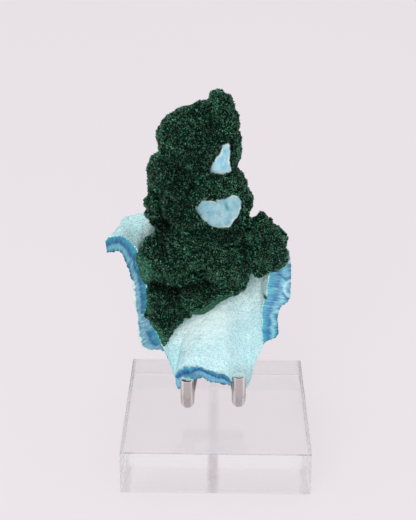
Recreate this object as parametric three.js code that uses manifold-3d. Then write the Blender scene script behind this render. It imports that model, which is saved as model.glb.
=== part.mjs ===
// Malachite with shattuckite, held on a clear block by a post and two wire hooks.
// Millimetres, Z up. The origin is the centre of the block's underside, and the show side
// faces -Y.
import * as THREE from "three";
import { ImprovedNoise } from "three/addons/math/ImprovedNoise.js";
import { mergeVertices } from "three/addons/utils/BufferGeometryUtils.js";
import Module from "manifold-3d";

// Gap between pieces that touch, and the distances within which corners and stray cut edges
// are merged
const GAP = 0.3;
const WELD_DISTANCE = 1e-4;
const MERGE_DISTANCE = 0.05;

// Clear block
const BLOCK_SIDE = 50;
const BLOCK_HEIGHT = 12.5;
const BLOCK_BEVEL = 0.25;

// Steel post, stepped down to a tenon that is glued into the block
const POST_X = -0.8;
const POST_Y = 19;
const POST_RADIUS = 1.5;
const POST_TOP = 57;
const POST_ROUND = 0.6;
const TENON_RADIUS = 1.1;
const TENON_FOOT = 4;
const POST_SIDES = 20;

// Steel wire hooks: a short prong in front, a round bottom and an arm back to the post
const WIRE_RADIUS = 1.8;
const HOOK_SPREAD = 6.9;
const HOOK_Y = -8;
const HOOK_BEND_Z = 23.1;
const HOOK_BEND_RADIUS = 4.3;
const HOOK_BEND_STEPS = 8;
const PRONG_TOP = 27.4;
const ARM_ANGLE = THREE.MathUtils.degToRad(33);
const ARM_STATIONS = [0.3, 0.65, 1];
const ARM_END_SPREAD = 2.2;
const ARM_END_CLEARANCE = 0.7;
const WIRE_SIDES = 8;
const WIRE_STEPS = 22;
const TIP_RADIUS = 0.99 * WIRE_RADIUS;
const TIP_FLATNESS = 0.55;
const TIP_RINGS = 6;

// Shattuckite crust. Each rib runs back through the sheet, and gives three points: the front
// edge of the grown side, the front edge of the underside, and the rear edge of the grown side.
const RIBS = [
  // horn, from its tip
  [[-29.7, 2, 60.7], [-29.3, 2, 57.3], [-28.6, 5.5, 61.2]],
  [[-28.6, 2, 61.9], [-27.9, 2, 57.6], [-27.4, 7.5, 61.7]],
  [[-26.1, 1.5, 62.4], [-26.4, 1.5, 57.9], [-26.5, 9.5, 61.9]],
  [[-24.2, 1, 62.2], [-24.9, 1, 56.9], [-26.2, 14, 62.2]],
  [[-22.3, 0.5, 60.6], [-24, 0.5, 54.4], [-23.6, 15, 62.8]],
  [[-21, 0, 58.8], [-23.4, 0, 52.9], [-20.4, 15.5, 63.4]],
  // left wall, down to the valley
  [[-20.9, 0, 56.1], [-22.8, 0, 51.6], [-17, 15, 62.8]],
  [[-19.7, -0.5, 53.1], [-22.3, -0.5, 50], [-15.4, 14.5, 59.5]],
  [[-18.8, -1, 48.9], [-22.3, -1, 47.4], [-14.8, 14, 55.8]],
  [[-18.6, -1.2, 44.1], [-21.8, -1.4, 43.4], [-14.2, 13.5, 51.6]],
  [[-19.3, -1.5, 40.8], [-21.4, -1.6, 40.4], [-13.5, 13, 48]],
  [[-18, -2, 39.3], [-21.2, -2, 37.9], [-13, 13, 46]],
  [[-16.6, -2.5, 37.1], [-21.2, -2.2, 35], [-12, 13, 45]],
  [[-15.2, -3.2, 34], [-19.6, -2.6, 32], [-10.8, 13, 44.4]],
  // valley and the left flank of the tongue
  [[-14.5, -4, 32.2], [-16.2, -3, 30.8], [-9.4, 13, 44.4]],
  [[-13.5, -4.6, 29.8], [-12.6, -1.8, 28.3], [-8, 13, 44.8]],
  [[-12.4, -5.8, 27], [-11.2, -3, 25.6], [-6.8, 13, 45.2]],
  [[-11.4, -7, 25.2], [-10.4, -5.6, 23], [-5.8, 13, 45.6]],
  // rim that stands in the hooks
  [[-10.7, -7.8, 26.9], [-9.7, -7.2, 21.5], [-4.9, 13, 46]],
  [[-9.5, -8.4, 28.5], [-8.3, -7.2, 21.3], [-4, 13, 46.3]],
  [[-7.6, -9, 29.6], [-6.8, -6.8, 22.2], [-3.1, 13, 46.6]],
  [[-5.7, -9.2, 29.6], [-5, -6.5, 24.2], [-2.1, 13, 46.9]],
  [[-3.9, -9.2, 29.3], [-3.5, -6.5, 24.3], [-1, 13, 47.1]],
  [[-2.2, -9.2, 28.4], [-2, -6.4, 23.3], [0.1, 13, 47.3]],
  [[0, -9.2, 27.8], [0.3, -6.4, 22.8], [1.4, 13, 47.5]],
  [[2.3, -9.2, 27.1], [2.4, -6.4, 22.3], [2.8, 13, 47.7]],
  [[4.2, -9.2, 25.2], [4.1, -6.5, 22.1], [4.1, 13, 48]],
  [[6.3, -8.9, 23], [5.8, -7, 21.5], [5.4, 13, 48.2]],
  [[8.1, -8, 22.3], [7.4, -6.6, 22.3], [6.6, 13, 48.5]],
  // right flank of the tongue
  [[9.3, -6.8, 23.6], [8.6, -4.4, 24], [7.8, 13, 48.8]],
  [[10.1, -5.8, 26.8], [9.2, -2.4, 26.4], [9, 13, 49.2]],
  [[11, -4.8, 30], [10.1, -1.2, 29], [10.1, 13, 49.6]],
  [[12.2, -4, 32.4], [12, -0.7, 31.2], [11.2, 13, 50]],
  // right wall, up to the corner under the malachite
  [[12.4, -3.4, 34.5], [14.2, -2, 34.2], [11.6, 13, 50.5]],
  [[12, -2.6, 36.7], [16.3, -1.5, 36.3], [12.1, 12.8, 51]],
  [[12.1, -1.8, 39.2], [16.4, -0.9, 38.8], [12.6, 12.5, 51.5]],
  [[11.9, -0.8, 42.3], [16.6, 0, 41.9], [13.2, 12, 52]],
  [[12.4, -0.2, 44.3], [17.8, 0.6, 43.4], [13.8, 11.6, 52.6]],
  [[13.1, 0.4, 46], [19.2, 1.2, 44.9], [14.4, 11.2, 53.2]],
  [[13.2, 1, 48.4], [19.6, 1.8, 47.5], [14.9, 10.8, 53.8]],
  [[13.5, 1.6, 50.5], [19.9, 2.3, 50.2], [15.3, 10.4, 54.4]],
  [[14.3, 2.2, 52.7], [19.6, 2.8, 53.2], [15.6, 10, 55]],
  [[16.2, 3, 54.2], [19.6, 3.4, 55.4], [15.8, 9.6, 55.6]],
];
const RIB_SAMPLES = 60;
const SWEEP_STEPS = 5;
const REAR_THICKNESS = 3.8;
const EVENED_RIBS = 4;
const TONGUE_FIRST_RIB = 14;
const TONGUE_LAST_RIB = 33;
const TONGUE_CROWN = 1.2;
const CRUST_RELIEF = 0.35;
const CRUST_RELIEF_SIZE = 5;

// Shattuckite stem inside the malachite: rounded lumps, each a centre and three radii
const STEM_LUMPS = [
  [[0.5, 2.4, 84], [4, 3.8, 7.2]],
  [[0.2, 1, 71], [7.4, 6.6, 6.4]],
  [[-0.5, 5.5, 60], [5, 5, 10]],
  [[0, 9, 48], [5, 4.6, 6]],
];
const STEM_FACET = 3;
const STEM_RELIEF = 0.4;
const STEM_FACE_MARGIN = 1.2;

// Two places where the malachite is broken away down to a flat face of the stem. Each is an
// outline in X and Z on the broken face, and the face's Y.
const UPPER_WINDOW = {
  y: 0.5,
  outline: [
    [1, 87.9], [2.6, 88.2], [2.8, 85.8], [2.7, 82.9], [3.2, 80.9], [1.4, 80.1],
    [-1.1, 80.3], [-2.3, 80.4], [-1.7, 82.4], [-0.6, 84.5], [0.3, 85.3], [0.9, 87.2],
  ],
};
const LOWER_WINDOW = {
  y: -2,
  outline: [
    [-6, 71.7], [-4.6, 73.3], [-3.6, 73.9], [-0.7, 73.9], [3.2, 75], [3.9, 75.5], [5.9, 74.9],
    [5.9, 72.4], [5.2, 70], [2.9, 66.7], [0.9, 66.2], [-1.1, 66.5], [-3.1, 67.8], [-5.3, 70.4],
  ],
};
const WINDOW_REACH = 14;

// Slopes at which the windows' walls and the malachite's broken front edges run down to the
// back. Those edges are trimmed by the crust made three times as thick and pushed forward.
const WINDOW_SLOPE = Math.tan(THREE.MathUtils.degToRad(20.5));
const EDGE_SLOPE = Math.tan(THREE.MathUtils.degToRad(24));
const TRIM_DEPTH = 3;
const TRIM_REACH = 10;
const TRIM_END = 0.9;

// Malachite lobes, each a centre and three radii
const MALACHITE_LOBES = [
  // top dome, knob and the column under it
  [[-7.4, 5, 88.2], [8.3, 9.2, 8.3]],
  [[-0.2, 6, 97.9], [2.2, 2.5, 2.8]],
  [[1.6, 5.5, 94.6], [3.6, 5, 4.6]],
  [[2.1, 4.4, 91.4], [3.6, 5.6, 4]],
  [[-2.6, 6.5, 92.6], [5, 6.6, 4.8]],
  [[-4.8, 5.4, 94.6], [4.2, 4.2, 3.3]],
  [[0.2, 2.2, 90.6], [2.6, 3.2, 2]],
  [[4.4, 2, 86.4], [1.5, 4.4, 5.2]],
  // shoulders and the middle of the tower
  [[-11.6, 4.5, 78.8], [6.8, 8.4, 6.8]],
  [[-4.6, 6.5, 80], [8.2, 9.6, 9.5]],
  [[2.2, 1.4, 78.2], [5.2, 6.6, 3.6]],
  [[1, 0.8, 76.6], [3.4, 4.4, 2]],
  [[1, 4.6, 71.4], [7.7, 9.6, 6.8]],
  [[-2.6, 3.4, 76.4], [6, 7.4, 4]],
  [[-13.2, 4.2, 72.4], [5.2, 7, 5.8]],
  [[-17.2, 3, 70.4], [2.2, 3, 3]],
  [[-6.4, 5.4, 69.5], [7.4, 9.8, 7.6]],
  [[2, 9, 82], [4.6, 7, 9]],
  // broad middle mass
  [[-13.4, 4.2, 57], [9, 9.4, 8.4]],
  [[-17, 2.4, 52.4], [4.6, 6, 6]],
  [[-4.4, 4.4, 60], [7, 11, 7]],
  [[2.4, 4.4, 56.6], [8.4, 11.2, 8.4]],
  [[0.6, 2.8, 63.4], [7.4, 8.8, 4.4]],
  [[11, 5.6, 59], [7.6, 8.6, 6.6]],
  [[14.4, 3.8, 56.4], [4.4, 6, 4.6]],
  [[11.8, 6.4, 63.6], [3, 4.4, 2.8]],
  [[-15.4, 6.5, 66], [3.4, 5, 3.4]],
  // lower wedge that fills the valley
  [[-14, 4, 46.5], [7.4, 8.4, 7]],
  [[-16.6, 1.6, 44.4], [3.6, 4.8, 6]],
  [[-13.6, 1.4, 39.6], [5.4, 6.2, 6]],
  [[-13.4, -1, 34.8], [3.4, 3.8, 4]],
  [[-3.6, 3.6, 47.4], [9.4, 8.8, 7]],
  [[7.4, 5.6, 52], [7.4, 8.4, 5.6]],
];
// Hollow between the lobes over the crust's ledge
const MALACHITE_HOLLOW = [[-14.9, -1, 65.6], [1.5, 4.2, 2.6]];
const LOBE_FACET = 2.3;
const LOBE_RELIEF = 1.4;
const RELIEF_SIZE = 4;

// Lower edge of the malachite on the show side, in X and Z at the crust's front, and how far
// forward, back and down the part under it is cleared
const MALACHITE_LOWER_EDGE = [
  [22, 57.5], [18.3, 55.6], [16.4, 54.6], [15.4, 53.5], [13.7, 52.8], [11.2, 51.9],
  [10.1, 52.1], [9.7, 53.2], [8.7, 52.4], [8, 51], [7.8, 49.2], [6.6, 47.8], [4.4, 46.2],
  [0.9, 44.2], [-2.8, 40.5], [-7, 40], [-10, 36.9], [-12.3, 34.3], [-13.9, 31],
];
const CLEARED = { front: -25, rear: 11, left: -14, right: 24, floor: 20 };

// Opening above the crust's ledge, in X and Z at Y 0, and how far it runs forward and back
const LEDGE_OPENING = [
  [-30, 69.5], [-19.2, 69.5], [-18.4, 68.2], [-17.4, 66.7], [-16.4, 65.8], [-16.5, 64.1],
  [-17.6, 63.3], [-18.8, 62.6], [-19.4, 61.5], [-19.8, 60.1], [-21.2, 57.4], [-30, 57.4],
];
const LEDGE_FRONT = -12;
const LEDGE_REAR = 15;

const wasm = await Module();
wasm.setup();
const bumps = new ImprovedNoise();

// A closed geometry as a solid that can be joined and cut
function toSolid(geometry) {
  const bare = geometry.clone();
  bare.deleteAttribute("normal");
  bare.deleteAttribute("uv");
  const merged = mergeVertices(bare, WELD_DISTANCE);
  return new wasm.Manifold(
    new wasm.Mesh({
      numProp: 3,
      vertProperties: new Float32Array(merged.attributes.position.array),
      triVerts: new Uint32Array(merged.index.array),
    }),
  );
}

function toGeometry(solid) {
  const mesh = solid.getMesh();
  const geometry = new THREE.BufferGeometry();
  geometry.setAttribute("position", new THREE.BufferAttribute(mesh.vertProperties, 3));
  geometry.setIndex(new THREE.BufferAttribute(mesh.triVerts, 1));
  geometry.computeVertexNormals();
  return geometry;
}

function largestBody(solid) {
  const bodies = solid.simplify(MERGE_DISTANCE).decompose();
  return bodies.reduce((best, body) => (body.volume() > best.volume() ? body : best));
}

function vector([x, y, z]) {
  return new THREE.Vector3(x, y, z);
}

// Smooth noise between -1 and 1, with hills about as wide as the size given
function hills(point, size) {
  return bumps.noise(point.x / size, point.y / size, point.z / size);
}

// An ellipsoid with rolling lumps on it
function lobe([centre, radii], facet, relief, grow) {
  const middle = vector(centre);
  const meanRadius = (radii[0] + radii[1] + radii[2]) / 3;
  const detail = Math.max(1, Math.round(meanRadius / facet) - 1);
  const geometry = new THREE.IcosahedronGeometry(1, detail);
  const position = geometry.attributes.position;
  const point = new THREE.Vector3();
  for (let i = 0; i < position.count; i++) {
    point.fromBufferAttribute(position, i);
    const outward = point.clone();
    point.multiply(vector(radii)).add(middle);
    point.addScaledVector(outward, relief * hills(point, RELIEF_SIZE) + grow);
    position.setXYZ(i, point.x, point.y, point.z);
  }
  return toSolid(geometry);
}

function joined(solids) {
  return wasm.Manifold.union(solids);
}

// A flat outline in X and Z, pushed straight back from one Y to another
function prism(outline, fromY, toY) {
  const shape = new THREE.Shape(outline.map(([x, z]) => new THREE.Vector2(x, z)));
  const geometry = new THREE.ExtrudeGeometry(shape, {
    depth: toY - fromY,
    bevelEnabled: false,
  });
  const position = geometry.attributes.position;
  for (let i = 0; i < position.count; i++) {
    const x = position.getX(i);
    const z = position.getY(i);
    const y = toY - position.getZ(i);
    position.setXYZ(i, x, y, z);
  }
  return geometry;
}

// Slants a geometry down to the back, leaving what is at the given Y where it is
function slant(geometry, slope, levelY) {
  const position = geometry.attributes.position;
  for (let i = 0; i < position.count; i++) {
    const y = position.getY(i);
    position.setZ(i, position.getZ(i) - slope * (y - levelY));
  }
  return geometry;
}

function windowCut({ y, outline }) {
  return toSolid(slant(prism(outline, y - WINDOW_REACH, y), WINDOW_SLOPE, y));
}

// The crust: ribs joined into one closed sheet. As a tool for trimming the malachite it is
// thicker, stands off the grown side by the gap, and runs on forward and past both ends.
function crustSheet(asTool) {
  const lift = asTool ? GAP : 0;
  const depth = asTool ? TRIM_DEPTH : 1;
  const last = RIBS.length - 1;
  const thickness = RIBS.map(([front, under]) => vector(under).sub(vector(front)));
  const evened = thickness.map((_, i) => {
    const near = thickness.slice(Math.max(0, i - EVENED_RIBS), i + EVENED_RIBS + 1);
    return near.reduce((sum, step) => sum.add(step), new THREE.Vector3()).normalize();
  });
  const unders = RIBS.map(([front, under], i) =>
    asTool
      ? vector(front).addScaledVector(evened[i], thickness[i].length() * depth)
      : vector(under),
  );
  const rearUnders = RIBS.map(([, , rear], i) =>
    vector(rear).addScaledVector(evened[i], REAR_THICKNESS * depth),
  );
  const fronts = RIBS.map(([front]) => vector(front));
  const rears = RIBS.map(([, , rear]) => vector(rear));
  const curves = [fronts, rears, rearUnders, unders, evened].map(
    (points) => new THREE.CatmullRomCurve3(points, false, "centripetal"),
  );
  const forward = new THREE.Vector3(0, -TRIM_REACH, TRIM_REACH * EDGE_SLOPE);
  const rings = [];
  for (let s = 0; s < RIB_SAMPLES; s++) {
    const u = s / (RIB_SAMPLES - 1);
    const [front, rear, rearUnder, under, inward] = curves.map((curve) => curve.getPoint(u));
    const across = (u * last - TONGUE_FIRST_RIB) / (TONGUE_LAST_RIB - TONGUE_FIRST_RIB);
    const crown = across > 0 && across < 1 ? TONGUE_CROWN * Math.sin(Math.PI * across) : 0;
    const side = (a, b, step, rise) => {
      const t = step / SWEEP_STEPS;
      const point = a.clone().lerp(b, t);
      const relief = CRUST_RELIEF * hills(point, CRUST_RELIEF_SIZE);
      const middle = Math.sin(Math.PI * t);
      return point.addScaledVector(inward, (relief - crown) * middle - rise);
    };
    const ring = [];
    for (let k = 0; k <= SWEEP_STEPS; k++) ring.push(side(front, rear, k, lift));
    for (let k = SWEEP_STEPS; k >= 0; k--) ring.push(side(under, rearUnder, k, 0));
    if (asTool) {
      ring.unshift(ring[0].clone().add(forward));
      ring.push(ring.at(-1).clone().add(forward));
    }
    rings.push(ring);
  }
  if (asTool) {
    rings.unshift(movedOn(rings[0], rings[1], TRIM_END));
    rings.push(movedOn(rings.at(-1), rings.at(-2), TRIM_END));
  }
  return toSolid(loft(rings));
}

// A copy of an end ring, moved a little further away from the ring beside it
function movedOn(ring, beside, distance) {
  const away = ring[1].clone().sub(beside[1]).normalize();
  return ring.map((point) => point.clone().addScaledVector(away, distance));
}

// A closed skin over equal rings of points, with a fan over each end
function loft(rings) {
  const count = rings[0].length;
  const points = rings.flat();
  const triangles = [];
  for (let s = 0; s + 1 < rings.length; s++) {
    for (let k = 0; k < count; k++) {
      const a = s * count + k;
      const b = s * count + ((k + 1) % count);
      const c = a + count;
      const d = b + count;
      triangles.push(a, c, b, b, c, d);
    }
  }
  [0, rings.length - 1].forEach((s) => {
    const hub = points.length;
    const centre = new THREE.Vector3();
    rings[s].forEach((point) => centre.addScaledVector(point, 1 / count));
    points.push(centre);
    for (let k = 0; k < count; k++) {
      const a = s * count + k;
      const b = s * count + ((k + 1) % count);
      triangles.push(...(s === 0 ? [a, b, hub] : [b, a, hub]));
    }
  });
  const geometry = new THREE.BufferGeometry().setFromPoints(points);
  geometry.setIndex(triangles);
  return geometry;
}

// The stem, broken off flat at the two windows
function stem(grow) {
  const lumps = joined(
    STEM_LUMPS.map((lump) => lobe(lump, STEM_FACET, STEM_RELIEF, grow)),
  );
  const broken = [UPPER_WINDOW, LOWER_WINDOW].map(({ y, outline }) => {
    const levels = outline.map(([, z]) => z);
    const bottom = Math.min(...levels) - STEM_FACE_MARGIN;
    const top = Math.max(...levels) + STEM_FACE_MARGIN;
    const slab = new THREE.BoxGeometry(BLOCK_SIDE, WINDOW_REACH, top - bottom);
    slab.translate(0, y - grow - WINDOW_REACH / 2, (top + bottom) / 2);
    return toSolid(slab);
  });
  return lumps.subtract(joined(broken));
}

function makeShattuckite() {
  return largestBody(crustSheet(false).add(stem(0)));
}

function makeMalachite() {
  const { front, rear, left, right, floor } = CLEARED;
  const outline = [...MALACHITE_LOWER_EDGE, [left, floor], [right, floor]];
  const below = toSolid(slant(prism(outline, front, rear), EDGE_SLOPE, 0));
  const ledge = prism(LEDGE_OPENING, LEDGE_FRONT, LEDGE_REAR);
  return largestBody(
    joined(MALACHITE_LOBES.map((item) => lobe(item, LOBE_FACET, LOBE_RELIEF, 0)))
      .subtract(below)
      .subtract(toSolid(slant(ledge, EDGE_SLOPE, 0)))
      .subtract(lobe(MALACHITE_HOLLOW, LOBE_FACET, 0, 0))
      .subtract(crustSheet(true))
      .subtract(stem(GAP))
      .subtract(windowCut(UPPER_WINDOW))
      .subtract(windowCut(LOWER_WINDOW)),
  );
}

function makeBlock() {
  const half = BLOCK_SIDE / 2 - BLOCK_BEVEL;
  const outline = new THREE.Shape();
  outline.moveTo(-half, -half);
  outline.lineTo(half, -half);
  outline.lineTo(half, half);
  outline.lineTo(-half, half);
  const body = new THREE.ExtrudeGeometry(outline, {
    depth: BLOCK_HEIGHT - 2 * BLOCK_BEVEL,
    bevelThickness: BLOCK_BEVEL,
    bevelSize: BLOCK_BEVEL,
    bevelSegments: 1,
  });
  body.translate(0, 0, BLOCK_BEVEL);
  const foot = TENON_FOOT - GAP;
  const hole = new THREE.CylinderGeometry(
    TENON_RADIUS + GAP,
    TENON_RADIUS + GAP,
    BLOCK_HEIGHT,
    POST_SIDES,
  );
  hole.rotateX(Math.PI / 2);
  hole.translate(POST_X, POST_Y, foot + BLOCK_HEIGHT / 2);
  return toSolid(body).subtract(toSolid(hole));
}

function makePost() {
  const shoulder = BLOCK_HEIGHT + GAP;
  const profile = [
    [0, TENON_FOOT],
    [TENON_RADIUS, TENON_FOOT],
    [TENON_RADIUS, shoulder],
    [POST_RADIUS, shoulder],
    [POST_RADIUS, POST_TOP - POST_ROUND],
    [POST_RADIUS - POST_ROUND, POST_TOP],
    [0, POST_TOP],
  ].map(([radius, z]) => new THREE.Vector2(radius, z));
  const geometry = new THREE.LatheGeometry(profile, POST_SIDES);
  geometry.rotateX(Math.PI / 2);
  geometry.translate(POST_X, POST_Y, 0);
  return toSolid(geometry);
}

// Wire centre line from the prong's top, round the bottom and back up to the post
function hookLine(side) {
  const x = POST_X + side * HOOK_SPREAD;
  const points = [];
  for (const z of [PRONG_TOP, (PRONG_TOP + HOOK_BEND_Z) / 2]) {
    points.push(new THREE.Vector3(x, HOOK_Y - HOOK_BEND_RADIUS, z));
  }
  const sweep = Math.PI / 2 + ARM_ANGLE;
  for (let i = 0; i <= HOOK_BEND_STEPS; i++) {
    const angle = -Math.PI + (sweep * i) / HOOK_BEND_STEPS;
    points.push(
      new THREE.Vector3(
        x,
        HOOK_Y + HOOK_BEND_RADIUS * Math.cos(angle),
        HOOK_BEND_Z + HOOK_BEND_RADIUS * Math.sin(angle),
      ),
    );
  }
  const start = points.at(-1);
  const endY = POST_Y - POST_RADIUS - ARM_END_CLEARANCE;
  const endX = POST_X + side * ARM_END_SPREAD;
  const reach = endY - start.y;
  for (const share of ARM_STATIONS) {
    points.push(
      new THREE.Vector3(
        x + (endX - x) * share,
        start.y + reach * share,
        start.z + reach * share * Math.tan(ARM_ANGLE),
      ),
    );
  }
  return new THREE.CatmullRomCurve3(points, false, "centripetal");
}

function makeHook(side) {
  const section = new THREE.Shape();
  for (let i = 0; i < WIRE_SIDES; i++) {
    const angle = (2 * Math.PI * i) / WIRE_SIDES;
    const x = WIRE_RADIUS * Math.cos(angle);
    const y = WIRE_RADIUS * Math.sin(angle);
    if (i === 0) section.moveTo(x, y);
    else section.lineTo(x, y);
  }
  const line = hookLine(side);
  const wire = new THREE.ExtrudeGeometry(section, {
    steps: WIRE_STEPS,
    extrudePath: line,
  });
  const tip = new THREE.SphereGeometry(TIP_RADIUS, WIRE_SIDES, TIP_RINGS);
  tip.scale(1, 1, TIP_FLATNESS);
  tip.rotateZ(Math.PI / WIRE_SIDES);
  tip.translate(...line.getPoint(0).toArray());
  return toSolid(wire).add(toSolid(tip));
}

const steel = { color: 0xb4aeab, roughness: 0.25, metalness: 1 };
const LOOKS = {
  acrylic_base: { color: 0xe8eaec, roughness: 0.03, metalness: 0 },
  stand_post: steel,
  left_hook: steel,
  right_hook: steel,
  shattuckite: { color: 0xa9d3e0, roughness: 0.8, metalness: 0 },
  malachite: { color: 0x123f2a, roughness: 0.85, metalness: 0 },
};

const SOLIDS = {
  acrylic_base: makeBlock(),
  stand_post: makePost(),
  left_hook: makeHook(-1),
  right_hook: makeHook(1),
  shattuckite: makeShattuckite(),
  malachite: makeMalachite(),
};

const specimen = new THREE.Group();
for (const [name, solid] of Object.entries(SOLIDS)) {
  const mesh = new THREE.Mesh(
    toGeometry(solid),
    new THREE.MeshStandardMaterial(LOOKS[name]),
  );
  mesh.name = name;
  specimen.add(mesh);
}

export default specimen;
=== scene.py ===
"""Malachite with shattuckite on its stand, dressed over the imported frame."""

import math

import bpy
import numpy as np
from mathutils import Matrix, Vector, noise
from mathutils.bvhtree import BVHTree


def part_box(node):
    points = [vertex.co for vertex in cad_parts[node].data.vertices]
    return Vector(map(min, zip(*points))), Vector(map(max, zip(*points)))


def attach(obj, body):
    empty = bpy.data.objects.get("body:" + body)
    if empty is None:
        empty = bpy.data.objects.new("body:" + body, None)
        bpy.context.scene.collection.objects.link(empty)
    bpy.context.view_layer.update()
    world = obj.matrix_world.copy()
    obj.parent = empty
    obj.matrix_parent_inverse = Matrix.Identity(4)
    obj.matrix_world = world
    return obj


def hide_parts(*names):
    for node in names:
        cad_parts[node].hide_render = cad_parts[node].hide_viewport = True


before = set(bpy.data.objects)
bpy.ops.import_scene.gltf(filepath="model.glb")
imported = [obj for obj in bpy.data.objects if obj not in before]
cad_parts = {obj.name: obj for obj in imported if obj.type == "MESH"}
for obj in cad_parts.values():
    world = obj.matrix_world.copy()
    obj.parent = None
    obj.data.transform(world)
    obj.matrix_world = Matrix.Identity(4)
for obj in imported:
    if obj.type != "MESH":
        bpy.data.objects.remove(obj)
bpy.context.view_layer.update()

MM = 0.001

# Camera, solved from the corners of the block in the photograph
EYE = Vector((0.4, -274.4, 180.6)) * MM
LOOK_DOWN = math.radians(24.36)
LOOK_LEFT = math.radians(0.61)
TILT = math.radians(0.30)
FOCAL_PIXELS = 1144
IMAGE_HEIGHT = 520
SENSOR = 36
NEAREST_SEEN = 0.01

# Light tent: walls, a roof, a dimmer side in front and a table that glows a little. A soft box
# in front lights only rough things: gloss and clear things don't show it.
WALL_LIGHT = 0.875
ROOF_LIGHT = 0.86
FRONT_DIMMED = -0.3
TABLE_LIGHT = 0.648
TABLE_SIDE = 8
TABLE_DROP = 0.3 * MM
LIGHT_AIM = Vector((0, 0, 0.05))
SOFT_BOX_PLACE = Vector((-0.11, -0.58, 0.22))
SOFT_BOX_SIDE = 0.42
SOFT_BOX_POWER = 2.95

# Clear block and the steel post that stands in it
BLOCK_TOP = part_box("acrylic_base")[1].z
POST_LOW, POST_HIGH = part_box("stand_post")
POST_RADIUS = (POST_HIGH.x - POST_LOW.x) / 2
POST_X = (POST_HIGH.x + POST_LOW.x) / 2
POST_Y = (POST_HIGH.y + POST_LOW.y) / 2
POST_ROUND = 0.6 * MM
POST_BEVEL = 0.25 * MM
GLUED_RADIUS = 1.1 * MM
GLUE_RADIUS = 1.43 * MM
GLUE_FOOT = 0.35 * MM
GLUE_SINK = 0.05 * MM
GLUE_RIM = 0.25 * MM
GLUE_DISH = 0.1 * MM
POST_SIDES = 48
# The block gets duller between these distances from its middle
SAWN_EDGE = 24.2 * MM, 24.8 * MM

# Wire hooks
WIRE_RADIUS = 1.8 * MM
HOOK_SPREAD = {-1: 6.9 * MM, 1: 6.78 * MM}
HOOK_Y = -8 * MM
HOOK_BEND_Z = {-1: 22.95 * MM, 1: 23.4 * MM}
HOOK_BEND_RADIUS = 4.3 * MM
PRONG_TOP = {-1: 27.4 * MM, 1: 28.6 * MM}
ARM_ANGLE = math.radians(33)
ARM_END_SPREAD = 2.2 * MM
ARM_END_CLEARANCE = 0.7 * MM
# Shares of the arm, from the bend on
ARM_STEPS = 0.02, 0.05, 0.28, 0.3, 0.35
WIRE_SIDES = 28
BEND_STEPS = 26
TIP_STEPS = 5
TIP_ROUND = 0.22 * MM

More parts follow.
